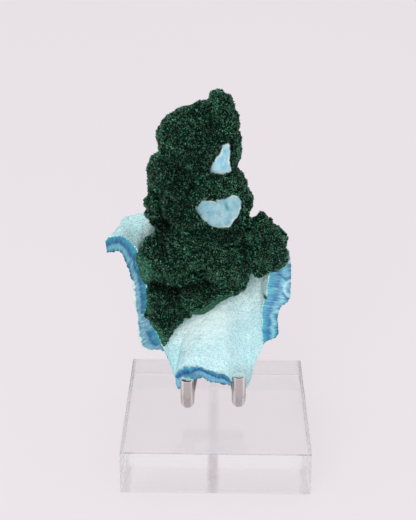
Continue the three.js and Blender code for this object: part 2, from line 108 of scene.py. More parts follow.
# Shattuckite crust, in millimetres. Each rib runs back through the sheet and is three points,
# each in X, Y and Z: the front edge of the grown side, the front edge of the underside, and
# the rear edge of the grown side.
RIBS = [
    # horn, from its tip
    (-29.7, 2, 60.7, -29.3, 2, 57.3, -28.6, 5.5, 60.9), (-28.6, 2, 61.9, -27.9, 2, 57.6, -27.4, 7.5, 61.2),
    (-26.1, 1.5, 62.4, -26.4, 1.5, 57.9, -26.5, 9.5, 61.9),
    (-24.2, 1, 62.2, -24.9, 1, 56.9, -26.2, 14, 62.2), (-22.3, 0.5, 60.6, -24, 0.5, 54.4, -23.6, 15, 62.8),
    (-21, 0, 58.8, -23.4, 0, 52.9, -20.4, 15.5, 63.4),
    # left wall, down to the valley
    (-20.9, 0, 56.1, -23.1, 0, 51.6, -17, 15, 62.8),
    (-19.7, -0.5, 53.1, -22.5, -0.5, 50, -15.4, 14.5, 59.5),
    (-18.8, -1, 48.9, -22.5, -1, 47.4, -14.8, 14, 55.8),
    (-18.6, -1.2, 44.1, -22.1, -1.4, 43.4, -14.2, 13.5, 51.6),
    (-19.3, -1.5, 40.8, -21.4, -1.6, 40.4, -13.5, 13, 48), (-18, -2, 39.3, -21.1, -2, 37.9, -13, 13, 46),
    (-16.6, -2.5, 37.1, -21.2, -2.2, 34.3, -12, 13, 45),
    (-15.2, -3.2, 34, -19.8, -2.6, 31, -10.8, 13, 44.4),
    # valley and the left flank of the tongue
    (-14.5, -4, 32.2, -15.6, -3, 30.8, -9.4, 13, 44.4),
    (-13.5, -4.6, 29.8, -12.9, -2.2, 29.4, -8, 13, 44.8),
    (-12.2, -5.8, 27.1, -11.3, -3, 25.6, -6.8, 13, 45.2), (-11.3, -7, 25.3, -11, -6, 23.2, -5.8, 13, 45.6),
    # rim that stands in the hooks
    (-10.8, -7.8, 26.9, -10.4, -7.2, 21.6, -4.9, 13, 46),
    (-9.5, -8.4, 28.5, -8.3, -7.2, 21.3, -4, 13, 46.3), (-7.6, -9, 29.6, -6.8, -6.8, 22.2, -3.1, 13, 46.6),
    (-5.7, -9.2, 29.6, -5, -6.5, 24.2, -2.1, 13, 46.9), (-3.9, -9.2, 29.3, -3.5, -6.5, 24.3, -1, 13, 47.1),
    (-2.2, -9.2, 28.4, -2, -6.4, 23.3, 0.1, 13, 47.3), (0, -9.2, 27.8, 0.3, -6.4, 22.8, 1.4, 13, 47.5),
    (2.3, -9.2, 27.1, 2.4, -6.4, 22.3, 2.8, 13, 47.7), (4.2, -9.2, 25.2, 4.1, -6.5, 22.1, 4.1, 13, 48),
    (6.3, -8.9, 23, 5.8, -7, 21.5, 5.4, 13, 48.2), (8.1, -8, 22.3, 7.4, -6.6, 22.3, 6.6, 13, 48.5),
    # right flank of the tongue
    (9.1, -6.8, 23.6, 8.4, -4.4, 24, 7.8, 13, 48.8), (9.9, -5.8, 26.8, 9, -2.4, 26.4, 9, 13, 49.2),
    (10.9, -4.8, 30, 10, -1.2, 29, 10.1, 13, 49.6), (12.2, -4, 32.4, 12.4, -1, 32.4, 11.2, 13, 50),
    # right wall, up to the corner under the malachite
    (12.4, -3.4, 34.5, 15.9, -1.9, 34.6, 11.6, 13, 50.5),
    (12, -2.6, 36.7, 16.4, -1.5, 36.4, 12.1, 12.8, 51),
    (12.1, -1.8, 39.2, 16.3, -0.9, 38.8, 12.6, 12.5, 51.5), (11.9, -0.8, 42.3, 16.6, 0, 41.8, 13.2, 12, 52),
    (12.4, -0.2, 44.3, 18.2, 0.6, 43.2, 13.8, 11.6, 52.6),
    (13.1, 0.4, 46, 19.5, 1.2, 44.7, 14.4, 11.2, 53.2), (13.2, 1, 48.4, 19.5, 1.8, 47.2, 14.9, 10.8, 53.8),
    (13.5, 1.6, 50.5, 19.7, 2.3, 50, 15.3, 10.4, 54.4), (14.3, 2.2, 52.7, 19.4, 2.8, 53.2, 15.6, 10, 55),
    (16.2, 3, 54.2, 19.4, 3.4, 55, 15.6, 9, 54.6),
]
REAR_THICKNESS = 3.8
EVENED_RIBS = 4
TONGUE_FIRST_RIB = 14
TONGUE_LAST_RIB = 33
TONGUE_CROWN = 1.2
STATIONS_PER_RIB = 9
CAP_STATIONS = 5
GROWN_ROWS, REAR_ROWS, UNDER_ROWS, BROKEN_ROWS = 96, 5, 14, 18
EASED_RIBS = 3.6
CRUST_WELD = 0.004 * MM

# Stem inside the malachite, in millimetres: lumps as a centre and three radii, and the two
# windows where it is broken off flat and shows, as the face's Y and a closed outline in X and Z
STEM_LUMPS = [
    (0.6, 2.4, 84, 4.6, 3.8, 7.2), (0.2, 1, 71, 7.4, 6.6, 6.4), (-0.5, 5.5, 60, 5, 5, 10),
    (0, 9, 48, 5, 4.6, 6),
]
WINDOWS = [
    (0.5, [
        (1, 87.9), (2.6, 88.2), (2.8, 85.8), (2.7, 82.9), (3.2, 80.9), (1.4, 80.1), (-1.1, 80.3),
        (-2.3, 80.4), (-1.7, 82.4), (-0.6, 84.5), (0.3, 85.3), (0.9, 87.2), (1, 87.9),
    ]),
    (-2, [
        (-6, 71.7), (-4.6, 73.3), (-3.6, 73.9), (-0.7, 73.9), (3.2, 75), (3.9, 75.5), (5.9, 74.9),
        (5.9, 72.4), (5.2, 70), (2.9, 66.7), (0.9, 66.2), (-1.1, 66.5), (-3.1, 67.8),
        (-5.3, 70.4), (-6, 71.7),
    ]),
]
# As seen from the front, each step back at a window is this much of a step up
WINDOW_LEAN = 0.37
STEM_VOXEL = 0.3 * MM
STEM_MARGIN = 1.4
STEM_RECESS = 1.1


def deselect():
    if bpy.context.object and bpy.context.object.mode != "OBJECT":
        bpy.ops.object.mode_set(mode="OBJECT")
    bpy.ops.object.select_all(action="DESELECT")


def pick(piece):
    deselect()
    piece.select_set(True)
    bpy.context.view_layer.objects.active = piece


def named(name):
    """Names the new piece and puts its place, turn and size into its mesh."""
    piece = bpy.context.object
    piece.name = piece.data.name = name
    pick(piece)
    bpy.ops.object.transform_apply(location=True, rotation=True, scale=True)
    return piece


def modify(piece, kind, **settings):
    """Adds a modifier and applies it."""
    pick(piece)
    modifier = piece.modifiers.new(kind.title(), kind)
    for key, value in settings.items():
        setattr(modifier, key, value)
    bpy.ops.object.modifier_apply(modifier=modifier.name)


def choose_faces(piece, wanted):
    """Selects, in edit mode, the faces for which wanted(centre, normal) is true."""
    pick(piece)
    mesh = piece.data
    chosen = [face for face in mesh.polygons if wanted(face.center, face.normal)]
    for items in (mesh.vertices, mesh.edges, mesh.polygons):
        items.foreach_set("select", [False] * len(items))
    for face in chosen:
        face.select = True
        for index in face.vertices:
            mesh.vertices[index].select = True
    bpy.ops.object.mode_set(mode="EDIT")
    bpy.ops.mesh.select_mode(type="FACE")


def extrude(offset, share=1.0):
    """Pulls the selected faces out by an offset, and then sizes them."""
    bpy.ops.mesh.extrude_region_move(TRANSFORM_OT_translate={"value": offset})
    if share != 1.0:
        bpy.ops.transform.resize(value=(share, share, share))


def edit_all(piece, operator, **settings):
    """Runs a mesh operator on all of a piece."""
    pick(piece)
    bpy.ops.object.mode_set(mode="EDIT")
    bpy.ops.mesh.select_all(action="SELECT")
    operator(**settings)
    bpy.ops.object.mode_set(mode="OBJECT")


def face_out(piece):
    edit_all(piece, bpy.ops.mesh.normals_make_consistent, inside=False)


def weld(piece, distance):
    edit_all(piece, bpy.ops.mesh.remove_doubles, threshold=distance)


def read(items, name, width):
    values = np.empty(len(items) * width)
    items.foreach_get(name, values)
    return values.reshape(-1, width)


def points_of(piece):
    return read(piece.data.vertices, "co", 3)


def normals_of(piece):
    return read(piece.data.vertex_normals, "vector", 3)


def painted_on(piece, name):
    return read(piece.data.attributes[name].data, "value", 1)[:, 0]


def move_points(piece, points):
    piece.data.vertices.foreach_set("co", np.ascontiguousarray(points).ravel())
    piece.data.update()


def paint(piece, **layers):
    """Stores numbers for each point of the piece, for its material to read."""
    for name, values in layers.items():
        layer = piece.data.attributes.new(name, "FLOAT", "POINT")
        layer.data.foreach_set("value", np.asarray(values, np.float32))


def hills(points, size, octaves=1):
    """Smooth noise around 0, with hills about as wide as the size."""
    return np.array([noise.fractal(Vector(p), 1.0, 2.0, octaves) for p in points / size])


def cells(points, size):
    """Distance from the nearest of scattered seeds, in sizes."""
    return np.array([noise.voronoi(Vector(p))[0][0] for p in points / size])


def fade(low, high, values):
    """0 at low, 1 at high and a soft run between them, whichever of the two is larger."""
    share = np.clip((values - low) / (high - low), 0, 1)
    return share * share * (3 - 2 * share)


def mound(gap, width=1.0):
    """1 where the gap is 0, falling off softly over the width."""
    return np.exp(-((gap / width) ** 2))


def ring(x, z, centre, reach=(1, 1)):
    """Distance in X and Z from a centre, in reaches."""
    return np.hypot((x - centre[0]) / reach[0], (z - centre[1]) / reach[1])


def line_gap(x, z, line):
    """Distance in X and Z from each point to a broken line, and the share of its length."""
    line = np.asarray(line, float)
    best = np.full(len(x), np.inf)
    along = np.zeros(len(x))
    for i, (start, end) in enumerate(zip(line[:-1], line[1:])):
        step = end - start
        share = ((x - start[0]) * step[0] + (z - start[1]) * step[1]) / (step @ step)
        share = np.clip(share, 0, 1)
        gap = np.hypot(x - start[0] - share * step[0], z - start[1] - share * step[1])
        nearer = gap < best
        best = np.where(nearer, gap, best)
        along = np.where(nearer, i + share, along)
    return best, along


def enclosed(x, z, outline):
    """True for each point inside a closed outline in X and Z."""
    inside = np.zeros(len(x), bool)
    for (ax, az), (bx, bz) in zip(outline, outline[1:]):
        crossed = (az > z) != (bz > z)
        inside ^= crossed & (x < ax + (z - az) * (bx - ax) / (bz - az + 1e-12))
    return inside


def unit(vectors):
    return vectors / np.linalg.norm(vectors, axis=1)[:, None]


def shade(red, green, blue):
    """A colour from its 0 to 255 screen values."""
    screen = np.array([red, green, blue]) / 255
    linear = np.where(screen < 0.04045, screen / 12.92, ((screen + 0.055) / 1.055) ** 2.4)
    return (*linear, 1.0)


class Nodes:
    """A node tree in the making. Its methods add nodes and give their outputs."""

    def __init__(self, owner):
        owner.use_nodes = True
        self.tree = owner.node_tree

    def add(self, kind, inputs, output=0, **settings):
        node = self.tree.nodes.new(kind)
        for key, value in settings.items():
            setattr(node, key, value)
        for key, value in inputs.items():
            if isinstance(value, bpy.types.NodeSocket):
                self.tree.links.new(value, node.inputs[key])
            else:
                node.inputs[key].default_value = value
        return node.outputs[output]

    def math(self, operation, a, b=0.0, clamp=False):
        inputs = {0: a, 1: b}
        return self.add("ShaderNodeMath", inputs, operation=operation, use_clamp=clamp)

    def plus(self, a, b, clamp=False):
        return self.math("ADD", a, b, clamp)

    def times(self, a, b):
        return self.math("MULTIPLY", a, b)

    def steps(self, value, low, high, to_low=0.0, to_high=1.0):
        inputs = {0: value, 1: low, 2: high, 3: to_low, 4: to_high}
        return self.add("ShaderNodeMapRange", inputs, interpolation_type="SMOOTHSTEP")


class Finish(Nodes):
    """A material in the making. Its methods take colours as 0 to 255 screen values."""

    def __init__(self, name, **constants):
        self.material = bpy.data.materials.new(name)
        super().__init__(self.material)
        self.surface = self.tree.nodes["Principled BSDF"]
        for socket, value in constants.items():
            self.surface.inputs[socket.replace("_", " ")].default_value = value

    def place(self, stretch=(1, 1, 1), turn=(0, 0, 0)):
        here = self.add("ShaderNodeTexCoord", {}, "Object")
        inputs = {"Vector": here, "Scale": stretch, "Rotation": turn}
        return self.add("ShaderNodeMapping", inputs)

    def painted(self, name):
        return self.add("ShaderNodeAttribute", {}, "Fac", attribute_name=name)

    def noise(self, vector, scale, detail=2.0, roughness=0.5):
        inputs = {"Vector": vector, "Scale": scale, "Detail": detail, "Roughness": roughness}
        return self.add("ShaderNodeTexNoise", inputs)

    def cells(self, vector, scale):
        return self.add("ShaderNodeTexVoronoi", {"Vector": vector, "Scale": scale}, "Distance")

    def ramp(self, value, *stops):
        """A colour for each level, from stops of a level and a colour."""
        node = self.tree.nodes.new("ShaderNodeValToRGB")
        self.tree.links.new(value, node.inputs[0])
        scale = node.color_ramp.elements
        first, *others, last = [(level, shade(*colour)) for level, *colour in stops]
        scale[0].position, scale[0].color = first
        scale[1].position, scale[1].color = last
        for level, colour in others:
            scale.new(level).color = colour
        return node.outputs[0]

    def mix(self, share, a, b, blend="MIX"):
        """Two colours mixed by a share, which may be the name of a painted layer."""
        share = self.painted(share) if isinstance(share, str) else share
        a, b = (shade(*side) if isinstance(side, tuple) else side for side in (a, b))
        inputs = {0: share, 6: a, 7: b}
        return self.add("ShaderNodeMix", inputs, 2, data_type="RGBA", blend_type=blend)

    def cover(self, colour, *layers):
        """Lays colours over the first one, each given after its share."""
        for share, *layer in layers:
            colour = self.mix(share, colour, *layer)
        return colour

    def bump(self, height, distance, strength=1.0, **under):
        inputs = {"Height": height, "Distance": distance, "Strength": strength, **under}
        return self.add("ShaderNodeBump", inputs)

    def finish(self, colour=None, roughness=None, normal=None):
        wanted = {"Base Color": colour, "Roughness": roughness, "Normal": normal}
        for socket, value in wanted.items():
            if value is not None:
                self.tree.links.new(value, self.surface.inputs[socket])
        return self.material


def dress(piece, material, slot, *replaced, crisp=None):
    """Smooths a piece up to its crisp edges, by their angle, and gives it its material."""
    if crisp:
        pick(piece)
        bpy.ops.object.shade_smooth_by_angle(angle=math.radians(crisp))
    piece.data.materials.clear()
    piece.data.materials.append(material)
    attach(piece, "root")
    if replaced:
        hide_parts(*replaced)


# Materials


def clear_acrylic():
    coat = Finish("clear_acrylic", Base_Color=(1, 1, 1, 1), IOR=1.49, Transmission_Weight=1.0)
    here = coat.place()
    haze = coat.steps(coat.noise(here, 260, 3), 0.35, 0.7, 0.08, 0.12)
    across = coat.add("ShaderNodeSeparateXYZ", {0: here})
    sawn = coat.steps(coat.math("ABSOLUTE", across), *SAWN_EDGE, 0, 0.18)
    return coat.finish(None, coat.plus(haze, sawn))


def milky_glue():
    # the glue glows a little: painted light that keeps it pale inside the clear block
    glow = {"Emission_Color": shade(255, 246, 248), "Emission_Strength": 0.22}
    coat = Finish("milky_glue", Roughness=0.6, **glow)
    clouds = coat.noise(coat.place(), 900, 3)
    return coat.finish(coat.mix(clouds, (240, 235, 236), (248, 246, 247)))


def polished_steel():
    coat = Finish("polished_steel", Metallic=1.0)
    wear = coat.noise(coat.place((1, 1, 0.2)), 900, 3)
    scratches = coat.noise(coat.place((1, 1, 0.06)), 4200, 2)
    rough = coat.steps(wear, 0.3, 0.7, 0.22, 0.3)
    rough = coat.math("SUBTRACT", rough, coat.times(coat.painted("tip"), 0.12))
    # painted reflection: a lighter colour along the front sides and on the tip of the wire, and painted
    # shade: darker where it turns away sideways and on the arms behind
    colour = coat.cover(
        coat.mix(wear, (190, 183, 180), (202, 195, 192)),
        ("dulled", (104, 100, 98)),
        ("rubbed", (250, 247, 245)),
    )
    return coat.finish(colour, rough, coat.bump(scratches, 0.00001, 0.25))


def malachite_ground():
    """Dark ground between the tufts, near black partly as painted shade between them, and the paler, greyer
    green where the velvet is broken off.
    """
    coat = Finish("malachite_ground", Specular_IOR_Level=0.06, Roughness=0.7)
    here = coat.place()
    patches = coat.noise(here, 1500, 3, 0.6)
    ground = coat.ramp(patches, (0.3, 1, 9, 6), (0.55, 4, 22, 15), (0.8, 12, 44, 31))
    grains = coat.math("SUBTRACT", 1.0, coat.cells(here, 1900))
    mottle = coat.times(grains, coat.noise(here, 700, 3, 0.6))
    broken = coat.ramp(mottle, (0.1, 22, 54, 41), (0.3, 46, 92, 72), (0.55, 84, 134, 108))
    normal = coat.bump(coat.noise(here, 4200, 2, 0.6), 0.0001, 0.8)
    return coat.finish(coat.mix("smooth", ground, broken), None, normal)


def malachite_crystals():
    coat = Finish("malachite_crystals", Specular_IOR_Level=0.06, Roughness=0.42)
    patches = coat.noise(coat.place(), 420, 3, 0.6)
    drift = coat.steps(patches, 0.3, 0.7, -0.05, 0.05)
    colour = coat.ramp(
        coat.plus(coat.painted("tone"), drift, True),
        (0, 1, 5, 4), (0.25, 11, 30, 23), (0.5, 34, 79, 60),
        (0.75, 58, 124, 95), (0.92, 94, 166, 132), (1, 136, 186, 158),
    )
    # grey crystals: partly powder on them and partly painted glint
    return coat.finish(coat.mix("dust", colour, (112, 108, 100)))


def shattuckite_crust():
    coat = Finish("shattuckite_crust", Specular_IOR_Level=0.3)
    here = coat.place()
    names = ("along", "depth", "side", "speckle", "chalk")
    along, depth, side, speckle, chalk = map(coat.painted, names)
    # grown side: pale granules, with teal between them and a few blue smudges
    grains = coat.cells(here, 2400)
    clouds = coat.steps(coat.noise(here, 260, 3), 0.35, 0.7)
    between = coat.times(coat.steps(grains, 0.4, 0.75, 0, 0.45), coat.plus(speckle, 0.35))
    dots = coat.steps(coat.cells(here, 1250), 0.08, 0.24, 1, 0)
    chosen = coat.steps(coat.noise(here, 520, 3, 0.6), 0.48, 0.6, 0, 0.85)
    grown = coat.cover(
        coat.mix(clouds, (178, 213, 216), (187, 220, 222)),
        (coat.steps(coat.noise(here, 3400, 2, 0.7), 0.42, 0.6, 0, 0.75), (213, 236, 235)),
        # painted light: paler under the malachite's lower edge, by the right wall and on the horn, where
        # they lie in shade, and a more cyan tint on the horn
        (coat.times(chalk, 0.8), (226, 244, 242)),
        (coat.steps(chalk, 1, 1.25, 0, 0.8), (206, 252, 250)),
        (between, (136, 196, 206)),
        (coat.times(coat.times(dots, chosen), speckle), (92, 178, 198)),
        (coat.steps(coat.noise(here, 900, 2), 0.62, 0.72, 0, 0.4), (176, 200, 228)),
        (coat.steps(coat.cells(here, 150), 0.05, 0.09, 0.5, 0), (112, 176, 216)),
        # thin grey-teal layer lines under the malachite's edge, and painted shade on the left flank patch
        ("ledge", (120, 176, 180)),
    )

    # broken side: bands that follow the sheet, crossed by fibres
    def wall_noise(across, down, layer, *kind):
        inputs = {0: coat.times(along, across), 1: coat.times(depth, down), 2: layer}
        return coat.noise(coat.add("ShaderNodeCombineXYZ", inputs), 1.0, *kind)

    shift = coat.times(coat.math("SUBTRACT", wall_noise(0.35, 0, 0, 2), 0.5), 0.3)
    wander = coat.times(coat.math("SUBTRACT", wall_noise(1.6, 1, 0, 2), 0.5), 0.2)
    level = coat.plus(coat.plus(depth, coat.painted("scallop")), coat.plus(shift, wander))
    wall = coat.ramp(
        level,
        (0, 160, 214, 214), (0.05, 92, 176, 192), (0.16, 70, 158, 184), (0.28, 64, 144, 176),
        (0.38, 54, 118, 160), (0.46, 50, 104, 150), (0.55, 92, 154, 184), (0.64, 132, 190, 202),
        (0.76, 138, 194, 204), (0.85, 96, 164, 186), (0.93, 60, 128, 152), (1, 36, 90, 112),
    )
    lip = coat.ramp(
        level,
        (0, 150, 212, 210), (0.06, 74, 172, 186), (0.2, 48, 156, 182), (0.36, 46, 144, 178),
        (0.46, 36, 96, 156), (0.55, 38, 92, 156), (0.63, 122, 186, 218), (0.8, 142, 200, 224),
        (0.92, 96, 160, 194), (1, 36, 82, 118),
    )
    mottle = wall_noise(0.9, 2.2, 5, 3, 0.6)
    fibres = wall_noise(2.7, 1.7, 0, 3, 0.65)
    inner = coat.steps(depth, 0.3, 0.6, 0.3, 1)
    light = coat.times(coat.steps(fibres, 0.5, 0.74, 0, 0.8), inner)
    whitened = coat.mix(coat.steps(fibres, 0.35, 0.65), (92, 158, 194), (208, 226, 230))
    bands = coat.cover(
        coat.mix("rim", wall, lip),
        (coat.steps(mottle, 0.5, 0.68, 0, 0.6), (52, 112, 150)),
        (coat.steps(mottle, 0.3, 0.46, 0.55, 0), (122, 192, 206)),
        (light, (190, 222, 228)),
        (coat.steps(fibres, 0.28, 0.48, 0.65, 0), (46, 106, 144)),
        (coat.times(coat.painted("bleach"), 0.75), whitened),
        (1.0, (218, 238, 240), "MULTIPLY"),
        ("duller", (212, 217, 218), "MULTIPLY"),
        ("rind", coat.mix(fibres, (150, 188, 192), (216, 220, 212))),
        ("shell", (190, 216, 228)),
        ("crack", (40, 92, 138)),
    )
    colour = coat.cover(grown, (side, bands), ("moss", (18, 62, 48)))
    normal = coat.bump(coat.noise(here, 5200, 3, 0.65), 0.00006, 0.5)
    normal = coat.bump(coat.math("SUBTRACT", 1.0, grains), 0.00013, 0.6, Normal=normal)
    return coat.finish(colour, coat.steps(side, 0, 1, 0.82, 0.5), normal)


def stem_face():
    coat = Finish("stem_face", Specular_IOR_Level=0.3)
    here = coat.place()
    streaks = coat.noise(coat.place((1, 1, 0.45), (0, math.radians(38), 0)), 1500, 3, 0.6)
    patches = coat.steps(coat.noise(here, 520, 3, 0.6), 0.35, 0.65)
    grit = coat.noise(here, 2600, 3, 0.65)
    specks = coat.steps(grit, 0.52, 0.62)
    frost = coat.times(coat.painted("rim"), coat.steps(grit, 0.35, 0.6, 0.4, 0.95))
    colour = coat.cover(
        coat.mix(patches, (134, 188, 208), (168, 214, 226)),
        (coat.steps(streaks, 0.45, 0.7, 0, 0.6), (184, 218, 226)),
        (coat.times(coat.painted("teal"), 0.85), (70, 156, 164)),
        (coat.times(coat.painted("blue"), specks), (82, 166, 204)),
        (coat.times(coat.painted("cream"), specks), (226, 228, 208)),
        (frost, (232, 244, 236)),
        ("dim", (214, 213, 211), "MULTIPLY"),
        ("covered", (10, 34, 26)),
    )
    normal = coat.bump(grit, 0.00008, 0.6)
    normal = coat.bump(streaks, 0.00008, 0.4, Normal=normal)
    return coat.finish(colour, coat.steps(grit, 0.3, 0.7, 0.5, 0.75), normal)


def studio_table():
    glow = {"Emission_Color": shade(255, 249, 254), "Emission_Strength": TABLE_LIGHT}
    coat = Finish("studio_table", Roughness=1.0, Specular_IOR_Level=0.0, **glow)
    tint = coat.noise(coat.place(), 3, 2)
    return coat.finish(coat.mix(tint, (118, 115, 117), (123, 120, 122)))


# Stage


def make_camera():
    deselect()
    bpy.ops.object.camera_add()
    camera = bpy.context.object
    camera.matrix_world = (
        Matrix.Translation(EYE)
        @ Matrix.Rotation(LOOK_LEFT, 4, "Z")
        @ Matrix.Rotation(math.pi / 2 - LOOK_DOWN, 4, "X")
        @ Matrix.Rotation(TILT, 4, "Z")
    )
    camera.data.sensor_width = SENSOR
    camera.data.lens = FOCAL_PIXELS / IMAGE_HEIGHT * SENSOR
    camera.data.clip_start = NEAREST_SEEN
    bpy.context.scene.camera = camera


def make_studio():
    deselect()
    bpy.ops.mesh.primitive_plane_add(size=TABLE_SIDE, location=(0, 0, -TABLE_DROP))
    table = named("studio_table")
    table.data.materials.append(studio_table())
    world = bpy.data.worlds.new("light_tent")
    bpy.context.scene.world = world
    tent = Nodes(world)
    air = tent.tree.nodes["Background"]
    air.inputs["Color"].default_value = shade(250, 245, 249)
    way = tent.add("ShaderNodeTexCoord", {}, "Generated")
    back, up = (tent.add("ShaderNodeSeparateXYZ", {0: way}, axis) for axis in (1, 2))
    walls = tent.steps(up, 0.3, 1.0, WALL_LIGHT, ROOF_LIGHT)
    dimmed = tent.steps(back, -0.95, -0.6, FRONT_DIMMED, 0.0)
    tent.tree.links.new(tent.plus(walls, dimmed), air.inputs["Strength"])
    deselect()
    bpy.ops.object.light_add(type="AREA", location=SOFT_BOX_PLACE)
    box = bpy.context.object
    box.rotation_euler = (LIGHT_AIM - SOFT_BOX_PLACE).to_track_quat("-Z", "Y").to_euler()
    box.data.size = SOFT_BOX_SIDE
    box.data.energy = SOFT_BOX_POWER
    box.visible_glossy = False
    box.visible_transmission = False


# Stand


def cylinder(name, radius, low, high):
    """An upright cylinder on the post's axis, with its top selected in edit mode."""
    deselect()
    middle = POST_X, POST_Y, (high + low) / 2
    bpy.ops.mesh.primitive_cylinder_add(
        vertices=POST_SIDES, radius=radius, depth=high - low, location=middle
    )
    piece = named(name)
    choose_faces(piece, lambda centre, normal: normal.z > 0.9)
    return piece


def make_post(steel):
    """A post stepped down to the part that is glued into the block."""
    post = cylinder("steel_post", GLUED_RADIUS, POST_LOW.z, BLOCK_TOP)
    extrude((0, 0, 0), POST_RADIUS / GLUED_RADIUS)
    extrude((0, 0, POST_HIGH.z - BLOCK_TOP - POST_ROUND))
    extrude((0, 0, POST_ROUND), 1 - POST_ROUND / POST_RADIUS)
    face_out(post)
    modify(post, "BEVEL", width=POST_BEVEL, segments=3, angle_limit=math.radians(25))
    dress(post, steel, "steel", "stand_post", crisp=35)


def make_glue(glue):
    """The sleeve of glue round the part of the post in the block, dished at its top."""
    sleeve = cylinder("glue_sleeve", GLUE_RADIUS, POST_LOW.z - GLUE_FOOT, BLOCK_TOP - GLUE_SINK)
    bpy.ops.mesh.inset(thickness=GLUE_RIM)
    extrude((0, 0, -GLUE_DISH))
    modify(sleeve, "BEVEL", width=GLUE_DISH, segments=2, angle_limit=math.radians(40))
    dress(sleeve, glue, "acrylic", crisp=35)


def make_hook(side, name, steel):
    """A wire bent round under the rim: prong in front, round bottom, arm back to the post."""
    x = POST_X + side * HOOK_SPREAD[side]
    bend_z = HOOK_BEND_Z[side]
    deselect()
    foot = x, HOOK_Y - HOOK_BEND_RADIUS, bend_z
    bpy.ops.mesh.primitive_circle_add(
        vertices=WIRE_SIDES, radius=WIRE_RADIUS, fill_type="NGON", location=foot
    )
    hook = named(name + "_wire")
    choose_faces(hook, lambda centre, normal: True)
    extrude((0, 0, PRONG_TOP[side] - TIP_ROUND - bend_z))
    reached, width = 0.0, WIRE_RADIUS
    for step in range(1, TIP_STEPS + 1):
        angle = math.pi / 2 * step / TIP_STEPS
        height = TIP_ROUND * math.sin(angle)
        new_width = WIRE_RADIUS - TIP_ROUND * (1 - math.cos(angle))
        extrude((0, 0, height - reached), new_width / width)
        reached, width = height, new_width
    face_out(hook)
    bottom = bend_z + 0.1 * MM
    choose_faces(hook, lambda centre, normal: normal.z < -0.9 and centre.z < bottom)
    turn = -math.pi / 2 - ARM_ANGLE
    bpy.ops.mesh.spin(
        steps=BEND_STEPS, angle=turn, center=(x, HOOK_Y, bend_z), axis=(1, 0, 0)
    )
    start_y = HOOK_Y + HOOK_BEND_RADIUS * math.sin(ARM_ANGLE)
    reach = POST_Y - POST_RADIUS - ARM_END_CLEARANCE - start_y
    drift = side * (ARM_END_SPREAD - HOOK_SPREAD[side])
    arm = Vector((drift, reach, reach * math.tan(ARM_ANGLE)))
    for share in ARM_STEPS:
        extrude(arm * share)
    face_out(hook)
    # painted reflection: lighter along both sides of the wire's front and on its tip; painted shade: darker
    # where it turns away sideways and on the arm behind
    points, sideways = points_of(hook), np.abs(normals_of(hook)[:, 0])
    in_front = fade(-0.008, -0.012, points[:, 1])
    rubbed = 0.8 * in_front * mound(sideways - 0.68, 0.14)
    tip = (points[:, 2] > PRONG_TOP[side] - 0.5 * TIP_ROUND) & (in_front > 0.5)
    dulled = np.maximum(0.7 * fade(0.86, 0.98, sideways), 0.8 * (1 - in_front))
    paint(hook, rubbed=np.maximum(rubbed, tip), dulled=dulled * ~tip, tip=tip)
    dress(hook, steel, "steel", name, crisp=40)


# Shattuckite


def smooth_curve(points, where):
    """Points on a smooth curve through the given ones, at the given places from 0 to 1."""
    points = np.asarray(points, float)
    padded = np.array([2 * points[0] - points[1], *points, 2 * points[-1] - points[-2]])
    place = np.clip(where, 0, 1) * (len(points) - 1)
    index = np.minimum(place.astype(int), len(points) - 2)
    t = (place - index)[:, None]
    a, b, c, d = (padded[index + k] for k in range(4))
    start = 2 * b + (c - a) * t
    return 0.5 * (start + (2 * a - 5 * b + 4 * c - d) * t**2 + (3 * b - a - 3 * c + d) * t**3)


